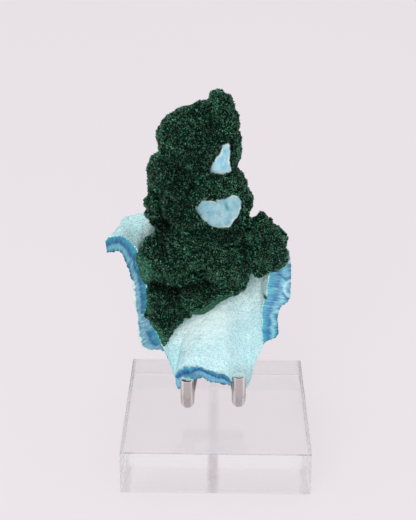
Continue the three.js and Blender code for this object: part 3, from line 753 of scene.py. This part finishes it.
def make_crust(material):
    """A sheet of points, rolled round the ribs into a closed crust."""
    stations = (len(RIBS) - 1) * STATIONS_PER_RIB + 2 * CAP_STATIONS
    rows = GROWN_ROWS + REAR_ROWS + UNDER_ROWS + BROKEN_ROWS
    deselect()
    bpy.ops.mesh.primitive_grid_add(x_subdivisions=stations, y_subdivisions=rows, size=1)
    crust = named("shattuckite_crust")
    flat = points_of(crust)
    station = np.rint((flat[:, 0] + 0.5) * stations)
    row = np.rint((flat[:, 1] + 0.5) * rows)
    run = stations - 2 * CAP_STATIONS
    where = np.clip((station - CAP_STATIONS) / run, 0, 1)
    capped = np.maximum(CAP_STATIONS - station, station - run - CAP_STATIONS)
    shrink = 1 - np.clip(capped / CAP_STATIONS, 0, 1)

    front, under, rear = np.reshape(RIBS, (-1, 3, 3)).astype(float).transpose(1, 0, 2)
    through = under - front
    starts = [max(0, i - EVENED_RIBS) for i in range(len(RIBS))]
    sums = [through[start : i + EVENED_RIBS + 1].sum(0) for i, start in enumerate(starts)]
    inward = np.array([mean / np.linalg.norm(mean) for mean in sums])
    rear_under = rear + inward * REAR_THICKNESS
    corners = [smooth_curve(line, where) for line in (front, rear, rear_under, under)]
    inward = smooth_curve(inward, where)

    marks = np.cumsum([0, GROWN_ROWS, REAR_ROWS, UNDER_ROWS, BROKEN_ROWS])
    turn = np.interp(row, marks, range(5))
    leg = np.minimum(turn.astype(int), 3)
    share = (turn - leg)[:, None]
    points = np.zeros_like(flat)
    for k in range(4):
        line = corners[k] * (1 - share) + corners[(k + 1) % 4] * share
        points = np.where((leg == k)[:, None], line, points)
    depth = np.interp(turn, range(5), [0, 0, 1, 1, 0])
    back = np.interp(turn, range(5), [0, 1, 1, 0, 0])
    rib = where * (len(RIBS) - 1)
    across = (rib - TONGUE_FIRST_RIB) / (TONGUE_LAST_RIB - TONGUE_FIRST_RIB)
    crown = TONGUE_CROWN * np.sin(np.pi * np.clip(across, 0, 1)) * np.sin(np.pi * back)
    points -= inward * crown[:, None]

    # away from its edge, the grown side of the left flank is rounder than its ribs
    spread = np.arange(len(RIBS))[:, None] - np.arange(len(RIBS))[None]
    weights = mound(spread, EASED_RIBS)
    eased = smooth_curve(weights @ front / weights.sum(1)[:, None], where)
    flank = fade(11, 14, rib) * fade(24, 20, rib)
    points += (eased - corners[0]) * (flank * (1 - back) * fade(0.02, 0.4, back))[:, None]

    places = np.linspace(0, 1, 400)
    steps = np.linalg.norm(np.diff(smooth_curve(front, places), axis=0), axis=1)
    along = np.interp(where, places, np.cumsum([0, *steps]))

    centre = sum(corners) / 4
    points = centre + (points - centre) * shrink[:, None]
    # ends of the sheet are broken too
    side = np.maximum(leg > 0, fade(0, 1, capped))
    move_points(crust, points * MM)
    paint(crust, along=along, depth=depth, side=side, rib=rib, back=back)
    weld(crust, CRUST_WELD)
    face_out(crust)
    roughen_crust(crust)
    dress(crust, material, "shattuckite", "shattuckite", crisp=50)
    return crust


# Lower edge of the malachite on the crust, as seen from the front: a line in X and Z
LOWER_EDGE = [
    (-14.1, 30.7), (-12.7, 34.4), (-9.7, 38.4), (-7.3, 40.1), (-4.6, 40.9), (-3.2, 40.8),
    (-1.4, 42.7), (1.3, 44.7), (4.4, 46.4), (6.6, 48), (8.2, 49.6), (8.3, 51.5),
]
# The crust leans back: each step back is this much of a step up, as seen from the front
LEAN = 0.48
# The grown side's plain patch, and the one on its left flank with its reaches, which gets painted shade
PLAIN_PATCH = (-2, 38)
FLANK_PATCH = (-11.5, 27), (2.8, 4.5)
# Two specks of malachite by the right wall: a centre in X and Z, and a radius
MOSS = [((12.9, 45.3), 0.55), ((12.8, 47.7), 0.35)]
# On the right wall: cracks as lines in X and Z, and a pale shell as a centre and reaches
CRACKS = [[(16.5, 51.4), (18.5, 49.7)], [(17.5, 46.3), (18.8, 44.6)]]
CRACK_WIDTH = 0.28
SHELL = (19.6, 47.4), (2, 2.4)
# These are painted only where Y is under this
MARKED_FRONT = 4
# By rib: how white the broken side is, and how wide its cream rind along the underside
WHITENED = [
    (6.8, 0), (7.6, 0.75), (9.4, 0.85), (10, 1), (11.6, 0.8), (12.2, 0.7), (13.3, 0.5),
    (13.7, 0.8), (14.2, 0.9), (15, 0), (34, 0), (36, 0.25), (41, 0.2), (41.6, 0.9),
]
RINDS = [
    (6.8, 0), (7.2, 0.2), (9.6, 0.16), (10.8, 0.04), (11.6, 0.12), (13.4, 0.14), (14, 0),
    (41.5, 0), (41.9, 0.9),
]
# Share of the way back at which the broken front ends
BROKEN_BACK = 0.02


def roughen_crust(crust):
    """Grains on the grown side, fibres and chips on the broken one, and ragged edges."""
    points = points_of(crust) / MM
    normals = normals_of(crust)
    names = ("along", "depth", "side", "rib", "back")
    along, depth, side, rib, back = (painted_on(crust, name) for name in names)
    rise = (1 - side) * (0.16 * hills(points, 2.6, 2) + 0.2 * (0.5 - cells(points, 0.72)))
    stretched = np.column_stack([along * 2.2, depth * 0.7, 0 * along])
    chips = 0.13 * hills(stretched, 1.0, 2) + 0.22 * hills(points, 2.8, 2)
    rise += side * np.where(back < BROKEN_BACK, chips, 0.35 * hills(points, 3.2, 3))
    near_edge = mound(depth, 0.07) + side * mound(1 - depth, 0.1)
    rise += near_edge * mound(back, 0.03) * 0.4 * hills(points, 0.8, 2)
    move_points(crust, (points + normals * rise[:, None]) * MM)
    paint_crust(crust, points, along, depth, side, rib, back)


def paint_crust(crust, points, along, depth, side, rib, back):
    """Paints on the crust what its material reads."""
    x, y, z = points.T
    lifted = z + LEAN * (y + 1)
    bleach = np.interp(rib, *np.transpose(WHITENED))
    corner = fade(13.2, 13.6, rib) * fade(15, 14.4, rib)
    bleach *= 1 - 0.8 * corner * fade(0.35, 0.1, depth)
    outer_half = (rib < 9.8) | ((rib > 11.8) & (rib < 13.4))
    bleach *= np.where(outer_half, fade(0.4, 0.65, depth), 1.0)
    rind_width = np.interp(rib, *np.transpose(RINDS)) * (1.1 + 0.7 * hills(points, 1.1))
    rind = fade(0, 0.06, depth - 1 + rind_width) * (rind_width > 0)
    rind *= fade(0.2, 0.02, back + 0.1 * hills(points, 2))
    lip = fade(16.5, 18, rib) * fade(32, 30, rib)
    crumbs = lip * fade(0.12, 0.02, depth + 0.12 * hills(points, 0.9))
    arcs = np.interp(rib, [33, 35], [0, 1]) * (np.abs(np.sin(np.pi * along / 3.4)) - 0.6)
    scallop = 0.16 * arcs * fade(0.35, 0.7, depth)
    left_lip = lip * fade(24.5, 22.5, rib)
    scallop += (0.17 * left_lip + 0.03 * lip) * fade(0.95, 0.5, depth)

    gap, _ = line_gap(x, lifted, LOWER_EDGE)
    lines = mound(gap - 0.5, 0.13) + 0.8 * mound(gap - 1.2, 0.13)
    lines *= fade(-0.2, 0.5, hills(points, 3) + 0.25)
    horn = fade(7, 5, rib)
    flank = fade(1.5, 0.7, ring(x, lifted, *FLANK_PATCH))
    plain = ring(x, lifted, PLAIN_PATCH) + 2 * hills(points, 4)
    # painted light: paler under the malachite's lower edge (but not on the left flank patch), on the horn
    # and by the right wall, where they lie in shade
    chalk = np.maximum(fade(11, 1.5, gap) * (1 - flank), 1.25 * horn)
    moss = sum(mound(ring(x, z, centre, (radius, radius)) ** 2) for centre, radius in MOSS)
    cracks = sum(mound(line_gap(x, z, line)[0], CRACK_WIDTH) for line in CRACKS)
    shell = ring(x, z, *SHELL)
    shell = fade(1.06, 0.95, shell) * (0.15 + 0.5 * fade(0.55, 0.85, shell))
    chalk = np.maximum(chalk, fade(34.5, 36.5, rib))
    speckle = 0.2 + 0.8 * fade(3, 9, plain) + 0.3 * horn + 0.2 * flank
    rind = np.maximum(rind, 0.8 * crumbs * side)
    paint(crust, bleach=bleach, rind=rind, scallop=scallop, rim=lip, speckle=speckle, chalk=chalk)
    # thin grey-teal layer lines under the malachite's edge, and painted shade on the left flank patch
    paint(crust, ledge=0.4 * lines + 0.2 * flank, duller=fade(16.5, 13.5, rib))
    marked = y < MARKED_FRONT
    paint(crust, moss=moss * marked, crack=0.8 * cracks * marked, shell=shell * marked)


def make_stem(material):
    """Lumps joined into one stem, broken off flat where it shows."""
    stem = joined_lumps(STEM_LUMPS, "shattuckite_stem")
    modify(stem, "REMESH", mode="VOXEL", voxel_size=STEM_VOXEL)
    points = points_of(stem) / MM
    points += normals_of(stem) * (0.25 * hills(points, 3, 2))[:, None]
    rim, covered = np.zeros(len(points)), np.ones(len(points))
    for level, outline in WINDOWS:
        low, high = min(z for _, z in outline), max(z for _, z in outline)
        in_reach = (points[:, 2] > low - STEM_MARGIN) & (points[:, 2] < high + STEM_MARGIN)
        face = level + 0.1 * hills(points, 1.6, 3)
        flat = in_reach & (points[:, 1] < face)
        points[:, 1] = np.where(flat, face, points[:, 1])
        x = points[:, 0] + 0.3 * hills(points, 0.9, 2)
        z = points[:, 2] + 0.3 * hills(points + 9, 0.9, 2)
        gap, _ = line_gap(x, z, outline)
        outside = flat * ~enclosed(x, z, outline) * gap
        points[:, 1] += STEM_RECESS * fade(0.05, 0.6, outside)
        frost = 0.35 + 0.9 * hills(points + 4, 1.8) + 0.4 * (z < low + 0.9)
        rim = np.maximum(rim, flat * fade(1.0, 0.2, gap / np.maximum(frost, 0.1)))
        covered *= np.where(flat, fade(0.02, 0.3, outside), 1)
    move_points(stem, points * MM)
    x, _, z = points.T
    slanted = x + 0.25 * (z - 72.3)
    teal = mound(ring(slanted, z, (2.2, 72.3), (0.55, 1.2)) ** 2)
    cream = mound(ring(x, z, (0.4, 69.8), (1.4, 0.8)))
    blue = mound(ring(x, z, (-2.6, 70.8), (1.6, 1.3)))
    dim = fade(78, 76, z)
    paint(stem, rim=rim, covered=covered, teal=teal, cream=cream, blue=blue, dim=dim)
    dress(stem, material, "shattuckite", crisp=60)


# Malachite

# Broken margins of the malachite, where little velvet is left: a line in X and Z, and the width
MARGINS = [
    [(-20.6, 58, 0.7), (-19.8, 55, 2.7), (-18.8, 52.2, 2.5), (-19, 49.6, 0.8), (-18.5, 45, 0.5),
     (-18, 42, 0.4)],
    [(-17.2, 39, 0.5), (-15.2, 35, 0.9), (-13.9, 32.4, 1.9), (-12.8, 34, 0.8)],
    [(-7, 41.2, 0.4), (-4, 41.8, 1.4), (-0.8, 43.6, 1.8), (2, 45.6, 1.3), (3.8, 46.9, 0.5)],
]
MARGIN_SWELLS = [0.5, 0.1, 0.1]
# They are only where Y is under the first, and lean back as the crust does
MARGIN_FRONT = 5.0
MARGIN_LEAN = 0.41

# Upright plane in which things are placed as seen from the front
FACING_Y = 4.0
# Pulls on the malachite, in that plane: a centre in X and Z, a reach, and a move right and up
PULLS = [
    (-3.4, 99.4, 1.5, 0.5, -0.4), (-6, 98.2, 1.6, 0, 0.5), (-10.8, 96.8, 2.2, 0.1, -0.5),
    (2, 100.4, 1.5, 0.6, 0.3), (4.9, 96.2, 2.2, -0.8, 0), (5.7, 91.3, 1.6, 0.5, 0), (6.6, 87.4, 2, -0.8, 0),
    (6.6, 83.6, 2.2, -0.9, 0), (5.4, 81.3, 1.1, -0.7, 0), (5.9, 86.2, 1.3, -0.4, 0),
    (7.8, 75.8, 1.2, 0.3, 0), (7.4, 77.9, 1.2, -0.5, 0), (8.2, 73.6, 2.4, 0.4, 0), (-16, 90, 1.8, -0.3, 0),
    (-17.6, 85, 1.5, -0.3, 0.2), (-18.1, 82.1, 1.3, 0.3, 0), (-18.4, 75.2, 1.6, -0.7, 0),
    (-18.1, 67.9, 0.9, -0.5, -0.2), (-19, 69.4, 1.1, 0.5, 0), (10.1, 67.2, 0.9, 0, -0.2),
    (12.3, 67.9, 0.9, 0.2, 0.4), (17.7, 63.4, 1.2, 0.5, 0.3), (11.5, 68.4, 0.8, 0, 0.3),
    (15, 65.9, 1.8, -0.5, -0.6), (18.1, 61.8, 1.7, 0.7, 0.1), (18.5, 58.9, 1.2, -0.4, 0),
    (17.2, 53.5, 2.2, 0, -0.4), (10.9, 50.2, 1.5, 0, -0.4), (-20.4, 53.6, 2.2, -0.5, 0),
    (-20.4, 50, 1.5, -0.7, 0), (-18.9, 37.4, 1.1, -0.45, 0), (-18.9, 42.6, 2.4, 0.3, 0),
    (-17.6, 35, 2.2, -0.8, 0), (-8.2, 37.9, 1, 0.5, -0.9), (-3.6, 38.9, 1, 0, -0.3),
    (6.3, 45.8, 1.5, 0.4, -0.4), (18.8, 54.5, 1, 0.3, 0), (-10.7, 34.4, 2.2, -0.2, 0.3),
    (0.2, 40.4, 3, 0, 0.3), (-18.8, 67.5, 1, -0.35, 0), (-20.3, 49, 3, -0.3, 0), (-8.2, 37.1, 1.2, 0, -0.3),
    (-4.9, 38.6, 1.6, 0, -0.3), (5.2, 45.1, 1.2, 0, -0.35), (16.2, 52.4, 2.2, 0.1, -0.35),
    (5.2, 81.5, 1.4, -0.5, 0), (3.7, 97.8, 1.8, -0.2, 0), (14.9, 65.1, 1.6, -0.1, -0.35),
]

# Creases pressed into the malachite: a line in X and Z, a width and a depth
CREASES = [
    ([(-13.8, 66.5), (-14.4, 62), (-13.4, 59)], 1.4, 1.7),
    ([(-15.6, 74), (-14.6, 69.5), (-13, 65)], 0.6, 1.2),
    ([(-17.4, 49), (-14.6, 48.4), (-11, 47.2), (-6.6, 48.6), (-2, 49.4)], 1.3, 2.4),
    ([(7.9, 64.8), (8.1, 64.4)], 0.7, 0.3), ([(7.4, 61.8), (7.6, 61.4)], 0.7, 0.8),
    ([(-3.8, 53.8), (-3.3, 50)], 0.8, 0.6), ([(-2.2, 96.6), (-1.2, 92)], 0.9, 0.9),
    ([(-15.5, 84.5), (-11, 81.6), (-6.5, 80.6)], 1.2, 0.8),
    ([(3.7, 89.4), (3.8, 85), (3.6, 81.6)], 0.5, 3.0),
    ([(-6.5, 65.6), (-1, 63.6), (4, 64.2), (6.6, 65)], 1.3, 1.4),
    ([(6.2, 62), (7.6, 58), (6.4, 54)], 1.1, 0.7),
]
CREASE_LEAN = 0.35

# Lobes of the malachite as seen from the front: a centre and reaches in X and Z, and a lighter
# or darker tone
LOBES = [
    # tower
    (-0.3, 99.5, 2.4, 2.2, 0.18), (2.8, 95.3, 2.6, 3.4, 0.04), (-9.9, 91.3, 6.3, 6.7, -0.02),
    (-4.8, 84.9, 4.5, 7.3, -0.07), (-15.1, 79.4, 3.7, 6.2, 0.02), (4.5, 85.5, 1.3, 4.5, 0.02),
    (-3.4, 76.7, 2.6, 2.5, 0.04), (3.5, 77.1, 3.9, 2.8, 0.01), (7.5, 71, 1.3, 3.6, 0.06),
    (-11, 70.8, 3.7, 7, -0.1), (-17.3, 69.6, 1.8, 3.4, 0),
    # foot
    (-2.1, 61.5, 8.4, 3.4, 0.03), (11.7, 62.8, 5.3, 4.8, 0.04), (12.9, 55.3, 5.3, 3.9, 0.03),
    (2.5, 51.9, 4.7, 5.3, 0.03), (-9.8, 53.9, 6.6, 6.7, 0), (-14.8, 38.8, 5.8, 6.2, -0.04),
    (-5.5, 42, 6.6, 2.8, 0.04),
]
LOBE_SWELL = 1.4
LOBE_PIT = 1.3
LOBE_PIT_WIDTH = 0.2
LOBE_PIT_REACH = 1.4

# Lumps of malachite: a centre and three radii
LUMPS = [
    # along its lower edge, from the right
    (16.2, 1.3, 56.3, 2.1, 1.7, 1.5), (14.5, 1, 54.8, 1.8, 1.7, 1.7), (12.2, 0.2, 54, 1.7, 1.7, 1.8),
    (7.4, -1.6, 52, 1.1, 1.1, 1.5), (6.1, -1.4, 50.3, 1.2, 1.1, 1.4), (3.9, -1, 48.4, 1.5, 1.1, 1.3),
    (-3.6, 0.2, 42.3, 1.7, 1.5, 1.4), (-5.6, 0.5, 42.1, 1.8, 1.6, 1.4), (-7.6, 0.4, 41.5, 1.8, 1.7, 1.5),
    (-18.6, -1.4, 41.6, 0.8, 0.9, 1.6),
    # round the upper window
    (1.6, -0.8, 91, 2.7, 1.6, 1.7), (-1.3, -1.3, 88.3, 1.6, 1.3, 1.9), (-2.7, -1.6, 85.3, 1.3, 1.2, 1.6),
    (4.5, -0.6, 85.8, 1.1, 1.3, 4),
    # round the lower window
    (-6.1, -2.6, 74.8, 2, 1.5, 2.3), (-2.8, -2.5, 76, 2.2, 1.4, 1.3), (0.5, -2.4, 76, 2.3, 1.3, 1.2),
    (4.7, -2.5, 77, 2, 1.3, 1.1), (7.5, -1.9, 73.4, 1.2, 1.6, 2.6), (6.9, -1.7, 69.4, 1.4, 1.5, 2.2),
    (4.9, -2, 66.5, 1.9, 1.2, 1.1), (-3.6, -2.6, 67.4, 1.4, 1, 0.9),
    # on the right shoulder
    (9.4, 3, 66.2, 1.9, 1.8, 1.2), (11.3, 2.5, 67.4, 1.3, 1.3, 1.5), (12.2, 3, 65.4, 2.4, 2.2, 2),
    (14.1, 2.6, 66.6, 0.8, 0.9, 1.2),
]
LUMP_DETAIL = 4
SOLID_WELD = 0.002 * MM
VELVET_VOXEL = 0.34 * MM
UNDER_VELVET = 0.1

# Tufts of crystals
TUFT_SEED = 12
TUFT_CANDIDATES = 70000
TUFT_SPACING = 0.46 * MM
TUFT_DEPTH = 0.26 * MM
TUFT_SPREAD = 0.9
TUFT_CRYSTALS = 7
TUFT_LEVEL = 0.333
TUFT_TONE = 0.13
DUSTY_SHARE = 0.12
TUFT_SIZE = (0.7, 1.35)
CRYSTAL_LENGTH = (0.4, 0.72)
CRYSTAL_RADIUS = (0.11, 0.17)
CRYSTAL_TONE = (-0.43, 0.45)
CRYSTAL_WIDEST = 0.62
VELVET_PIECES = ["velvet_foot", "velvet_waist", "velvet_shoulder", "velvet_crown"]
CRUST_CLEARANCE = 0.25 * MM


def joined_lumps(lumps, name):
    """Rounded lumps, each given as a centre and three radii, in one piece."""
    deselect()
    parts = []
    for lump in lumps:
        centre = Vector(lump[:3]) * MM
        bpy.ops.mesh.primitive_ico_sphere_add(
            subdivisions=LUMP_DETAIL, radius=MM, location=centre, scale=lump[3:]
        )
        parts.append(bpy.context.object)
    for part in parts:
        part.select_set(True)
    bpy.context.view_layer.objects.active = parts[0]
    bpy.ops.object.join()
    return named(name)


def placed(name, mesh):
    piece = bpy.data.objects.new(name, mesh)
    bpy.context.scene.collection.objects.link(piece)
    return piece


def malachite_blank():
    """A merged copy of the malachite's CAD solid with its lumps, remeshed finely and softened."""
    solid = placed("malachite_solid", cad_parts["malachite"].data.copy())
    weld(solid, SOLID_WELD)
    body = joined_lumps(LUMPS, "malachite_body")
    solid.select_set(True)
    bpy.ops.object.join()
    modify(body, "REMESH", mode="VOXEL", voxel_size=VELVET_VOXEL)
    modify(body, "SMOOTH", factor=0.5, iterations=8)
    return body


def from_the_front(points):
    """X and Z at which each point is seen in the upright plane at FACING_Y."""
    eye = np.array(EYE) / MM
    share = (FACING_Y - eye[1]) / (points[:, 1] - eye[1])
    return eye[[0, 2]] + (points[:, [0, 2]] - eye[[0, 2]]) * share[:, None]


def lobes_at(points):
    """For each point: how far it is up the nearest lobe, the crease beside it, and its tone."""
    seen = from_the_front(points)
    seen += 0.8 * np.column_stack([hills(points, 3, 2), hills(points + 60, 3, 2)])
    gaps = np.array([ring(*seen.T, lobe[:2], lobe[2:4]) for lobe in LOBES])
    first, second = np.sort(gaps, axis=0)[:2]
    crease = mound(second - first, LOBE_PIT_WIDTH) * (first < LOBE_PIT_REACH)
    tone = np.array([lobe[4] for lobe in LOBES])[np.argmin(gaps, axis=0)]
    return np.clip(1 - first**2, 0, 1), crease, tone


def make_malachite(material):
    body = malachite_blank()
    points = points_of(body) / MM
    normals = normals_of(body)
    x, y, z = points.T
    smooth, swelling, pressed = np.zeros((3, len(points)))
    frayed = 0.7 * hills(points, 1.4, 3)
    for margin, swell in zip(map(np.array, MARGINS), MARGIN_SWELLS):
        gap, place = line_gap(x, z + MARGIN_LEAN * (y + 1), margin[:, :2])
        edge = np.interp(place, range(len(margin)), margin[:, 2]) + frayed
        broken = (y < MARGIN_FRONT) * fade(0.6, -0.6, gap - edge)
        smooth = np.maximum(smooth, broken)
        swelling += swell * broken
    bent = x + 0.3 * hills(points, 2)
    for line, width, deep in CREASES:
        gap, _ = line_gap(bent, z + CREASE_LEAN * (y + 1), line)
        pressed += (normals[:, 1] < 0.35) * deep * mound(gap, width)
    dome, crease, own = lobes_at(points)
    facing = fade(0.4, -0.3, normals[:, 1]) * (1 - smooth)
    for level, outline in WINDOWS:
        gap, _ = line_gap(x, z + WINDOW_LEAN * (y - level), outline)
        facing *= fade(0.5, 2.2, gap)
    rough = 1 - 0.8 * smooth
    rise = swelling - UNDER_VELVET * rough
    rise += rough * (0.35 * hills(points, 3.4, 3) + 0.3 * (0.5 - cells(points, 1.7)))
    rise += (1 - 0.5 * smooth) * 0.22 * hills(points, 1.2, 2)
    rise += fade(3, 10, y) * 0.9 * hills(points, 6.5, 2)
    moved = points + normals * rise[:, None]
    moved[:, 1] += pressed + facing * (LOBE_PIT * crease - LOBE_SWELL * dome)
    for px, pz, reach, right, up in PULLS:
        near = mound(ring(*from_the_front(moved).T, (px, pz)), reach)
        moved += near[:, None] * np.array([right, 0, up])
    move_points(body, moved * MM)
    # tone: darker in the pressed creases and the creases between lobes as painted shade, a little darker in
    # lobe middles and lighter on the slopes that turn away from the front as painted sheen, and each lobe's
    # own tone
    tone = TUFT_LEVEL + 0.04 * hills(points, 4.2, 2) - 0.17 * pressed
    tone += facing * (own - 0.13 * crease - 0.03 * dome)
    tone += 0.07 * fade(-0.75, 0.0, normals[:, 1])
    paint(body, smooth=smooth, tone=tone)
    dress(body, material, "malachite", "malachite", crisp=70)
    return body


def surface_samples(body, count, random):
    """Random places on a piece: points, normals and the painted values there."""
    body.data.calc_loop_triangles()
    triangles = read(body.data.loop_triangles, "vertices", 3).astype(int)
    points, normals = points_of(body), normals_of(body)
    a, b, c = (points[triangles[:, k]] for k in range(3))
    area = np.linalg.norm(np.cross(b - a, c - a), axis=1)
    picked = triangles[random.choice(len(triangles), count, p=area / area.sum())]
    corner = random.dirichlet((1, 1, 1), count)

    def blend(values):
        return sum(corner[:, k, None] * values[picked[:, k]] for k in range(3))

    painted = np.column_stack([painted_on(body, name) for name in ("tone", "smooth")])
    return blend(points), unit(blend(normals)), *blend(painted).T


def spaced(points, spacing):
    """True for each point that is no nearer than the spacing to one kept before it."""
    kept = {}
    keep = np.zeros(len(points), bool)
    grid = np.floor(points / spacing).astype(int)
    around = [(i, j, k) for i in (-1, 0, 1) for j in (-1, 0, 1) for k in (-1, 0, 1)]
    for index, (point, (gx, gy, gz)) in enumerate(zip(points, grid)):
        near = [other for i, j, k in around for other in kept.get((gx + i, gy + j, gz + k), ())]
        if all(np.dot(point - other, point - other) > spacing**2 for other in near):
            kept.setdefault((gx, gy, gz), []).append(point)
            keep[index] = True
    return keep


def in_window(points, normals):
    """True for places on a window's walls, apart from its upper one."""
    x, y, z = points.T / MM
    hit = np.zeros(len(points), bool)
    for level, outline in WINDOWS:
        gap, _ = line_gap(x, z + WINDOW_LEAN * (y - level), outline)
        hit |= (gap < 0.5) & (y < level + 0.5) & (normals[:, 2] > -0.3)
    return hit


def make_velvet(body, crust, material):
    """Tufts of tiny crystals all over the malachite."""
    random = np.random.default_rng(TUFT_SEED)
    points, normals, tone, smooth = surface_samples(body, TUFT_CANDIDATES, random)
    keep = spaced(points, TUFT_SPACING)
    tree = BVHTree.FromObject(crust, bpy.context.evaluated_depsgraph_get())
    keep &= [tree.find_nearest(Vector(p), CRUST_CLEARANCE)[0] is None for p in points]
    keep &= random.random(len(points)) > 0.5 * smooth
    points, normals, tone, smooth = points[keep], normals[keep], tone[keep], smooth[keep]
    size = random.uniform(*TUFT_SIZE, len(points)) - 0.4 * smooth
    size -= 0.25 * in_window(points, normals)
    tone = tone + random.normal(0, TUFT_TONE, len(points)) * (1 - 0.5 * smooth) + 0.16 * smooth
    order = np.argsort(points[:, 2])
    for name, share in zip(VELVET_PIECES, np.array_split(order, len(VELVET_PIECES))):
        tufts = (values[share] for values in (points, normals, tone, size))
        grow_tufts(name, tufts, random, material)


def grow_tufts(name, tufts, random, material):
    """Crystals that spread from the root of each tuft, widest near their tips."""
    points, normals, tone, size = (np.repeat(values, TUFT_CRYSTALS, axis=0) for values in tufts)
    count = len(points)
    side = unit(np.cross(normals, random.normal(size=(count, 3))))
    tilt = TUFT_SPREAD * np.sqrt(random.random(count))[:, None]
    way = unit(normals + side * tilt)
    across = unit(np.cross(way, random.normal(size=(count, 3))))
    other = np.cross(way, across)
    length = (size * random.uniform(*CRYSTAL_LENGTH, count))[:, None] * MM * (1 - 0.12 * tilt)
    radius = (size * random.uniform(*CRYSTAL_RADIUS, count))[:, None] * MM
    root = points - normals * TUFT_DEPTH * size[:, None] + side * 0.1 * MM
    corners = [root]
    for angle in (0, 2 * math.pi / 3, 4 * math.pi / 3):
        spoke = math.cos(angle) * across + math.sin(angle) * other
        corners.append(root + way * CRYSTAL_WIDEST * length + radius * spoke)
    corners.append(root + way * length)
    vertices = np.stack(corners, 1).reshape(-1, 3)
    shape = np.array([[0, 2, 1], [0, 3, 2], [0, 1, 3], [4, 1, 2], [4, 2, 3], [4, 3, 1]])
    faces = (5 * np.arange(count)[:, None, None] + shape).reshape(-1, 3)
    mesh = bpy.data.meshes.new(name)
    mesh.from_pydata(vertices, [], faces, shade_flat=False)
    piece = placed(name, mesh)
    own = tone + random.uniform(*CRYSTAL_TONE, count)
    # each crystal is darker at its root and lighter at its tip: painted shade down between the crystals and
    # painted light on their tips
    corner_tone = np.clip(np.column_stack([own - 0.35, own, own, own, own + 0.2]), 0, 1)
    # a share of crystals goes grey, partly as powder on them and partly as painted glint
    dusty = random.random(count) < DUSTY_SHARE
    paint(piece, tone=corner_tone.ravel(), dust=0.55 * np.repeat(dusty, 5))
    dress(piece, material, "malachite")


bpy.context.scene.view_settings.view_transform = "Standard"
make_camera()
make_studio()
steel = polished_steel()
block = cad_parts["acrylic_base"]
block.data.materials.clear()
block.data.materials.append(clear_acrylic())
make_post(steel)
make_glue(milky_glue())
make_hook(-1, "left_hook", steel)
make_hook(1, "right_hook", steel)
crust = make_crust(shattuckite_crust())
make_stem(stem_face())
body = make_malachite(malachite_ground())
make_velvet(body, crust, malachite_crystals())

deselect()
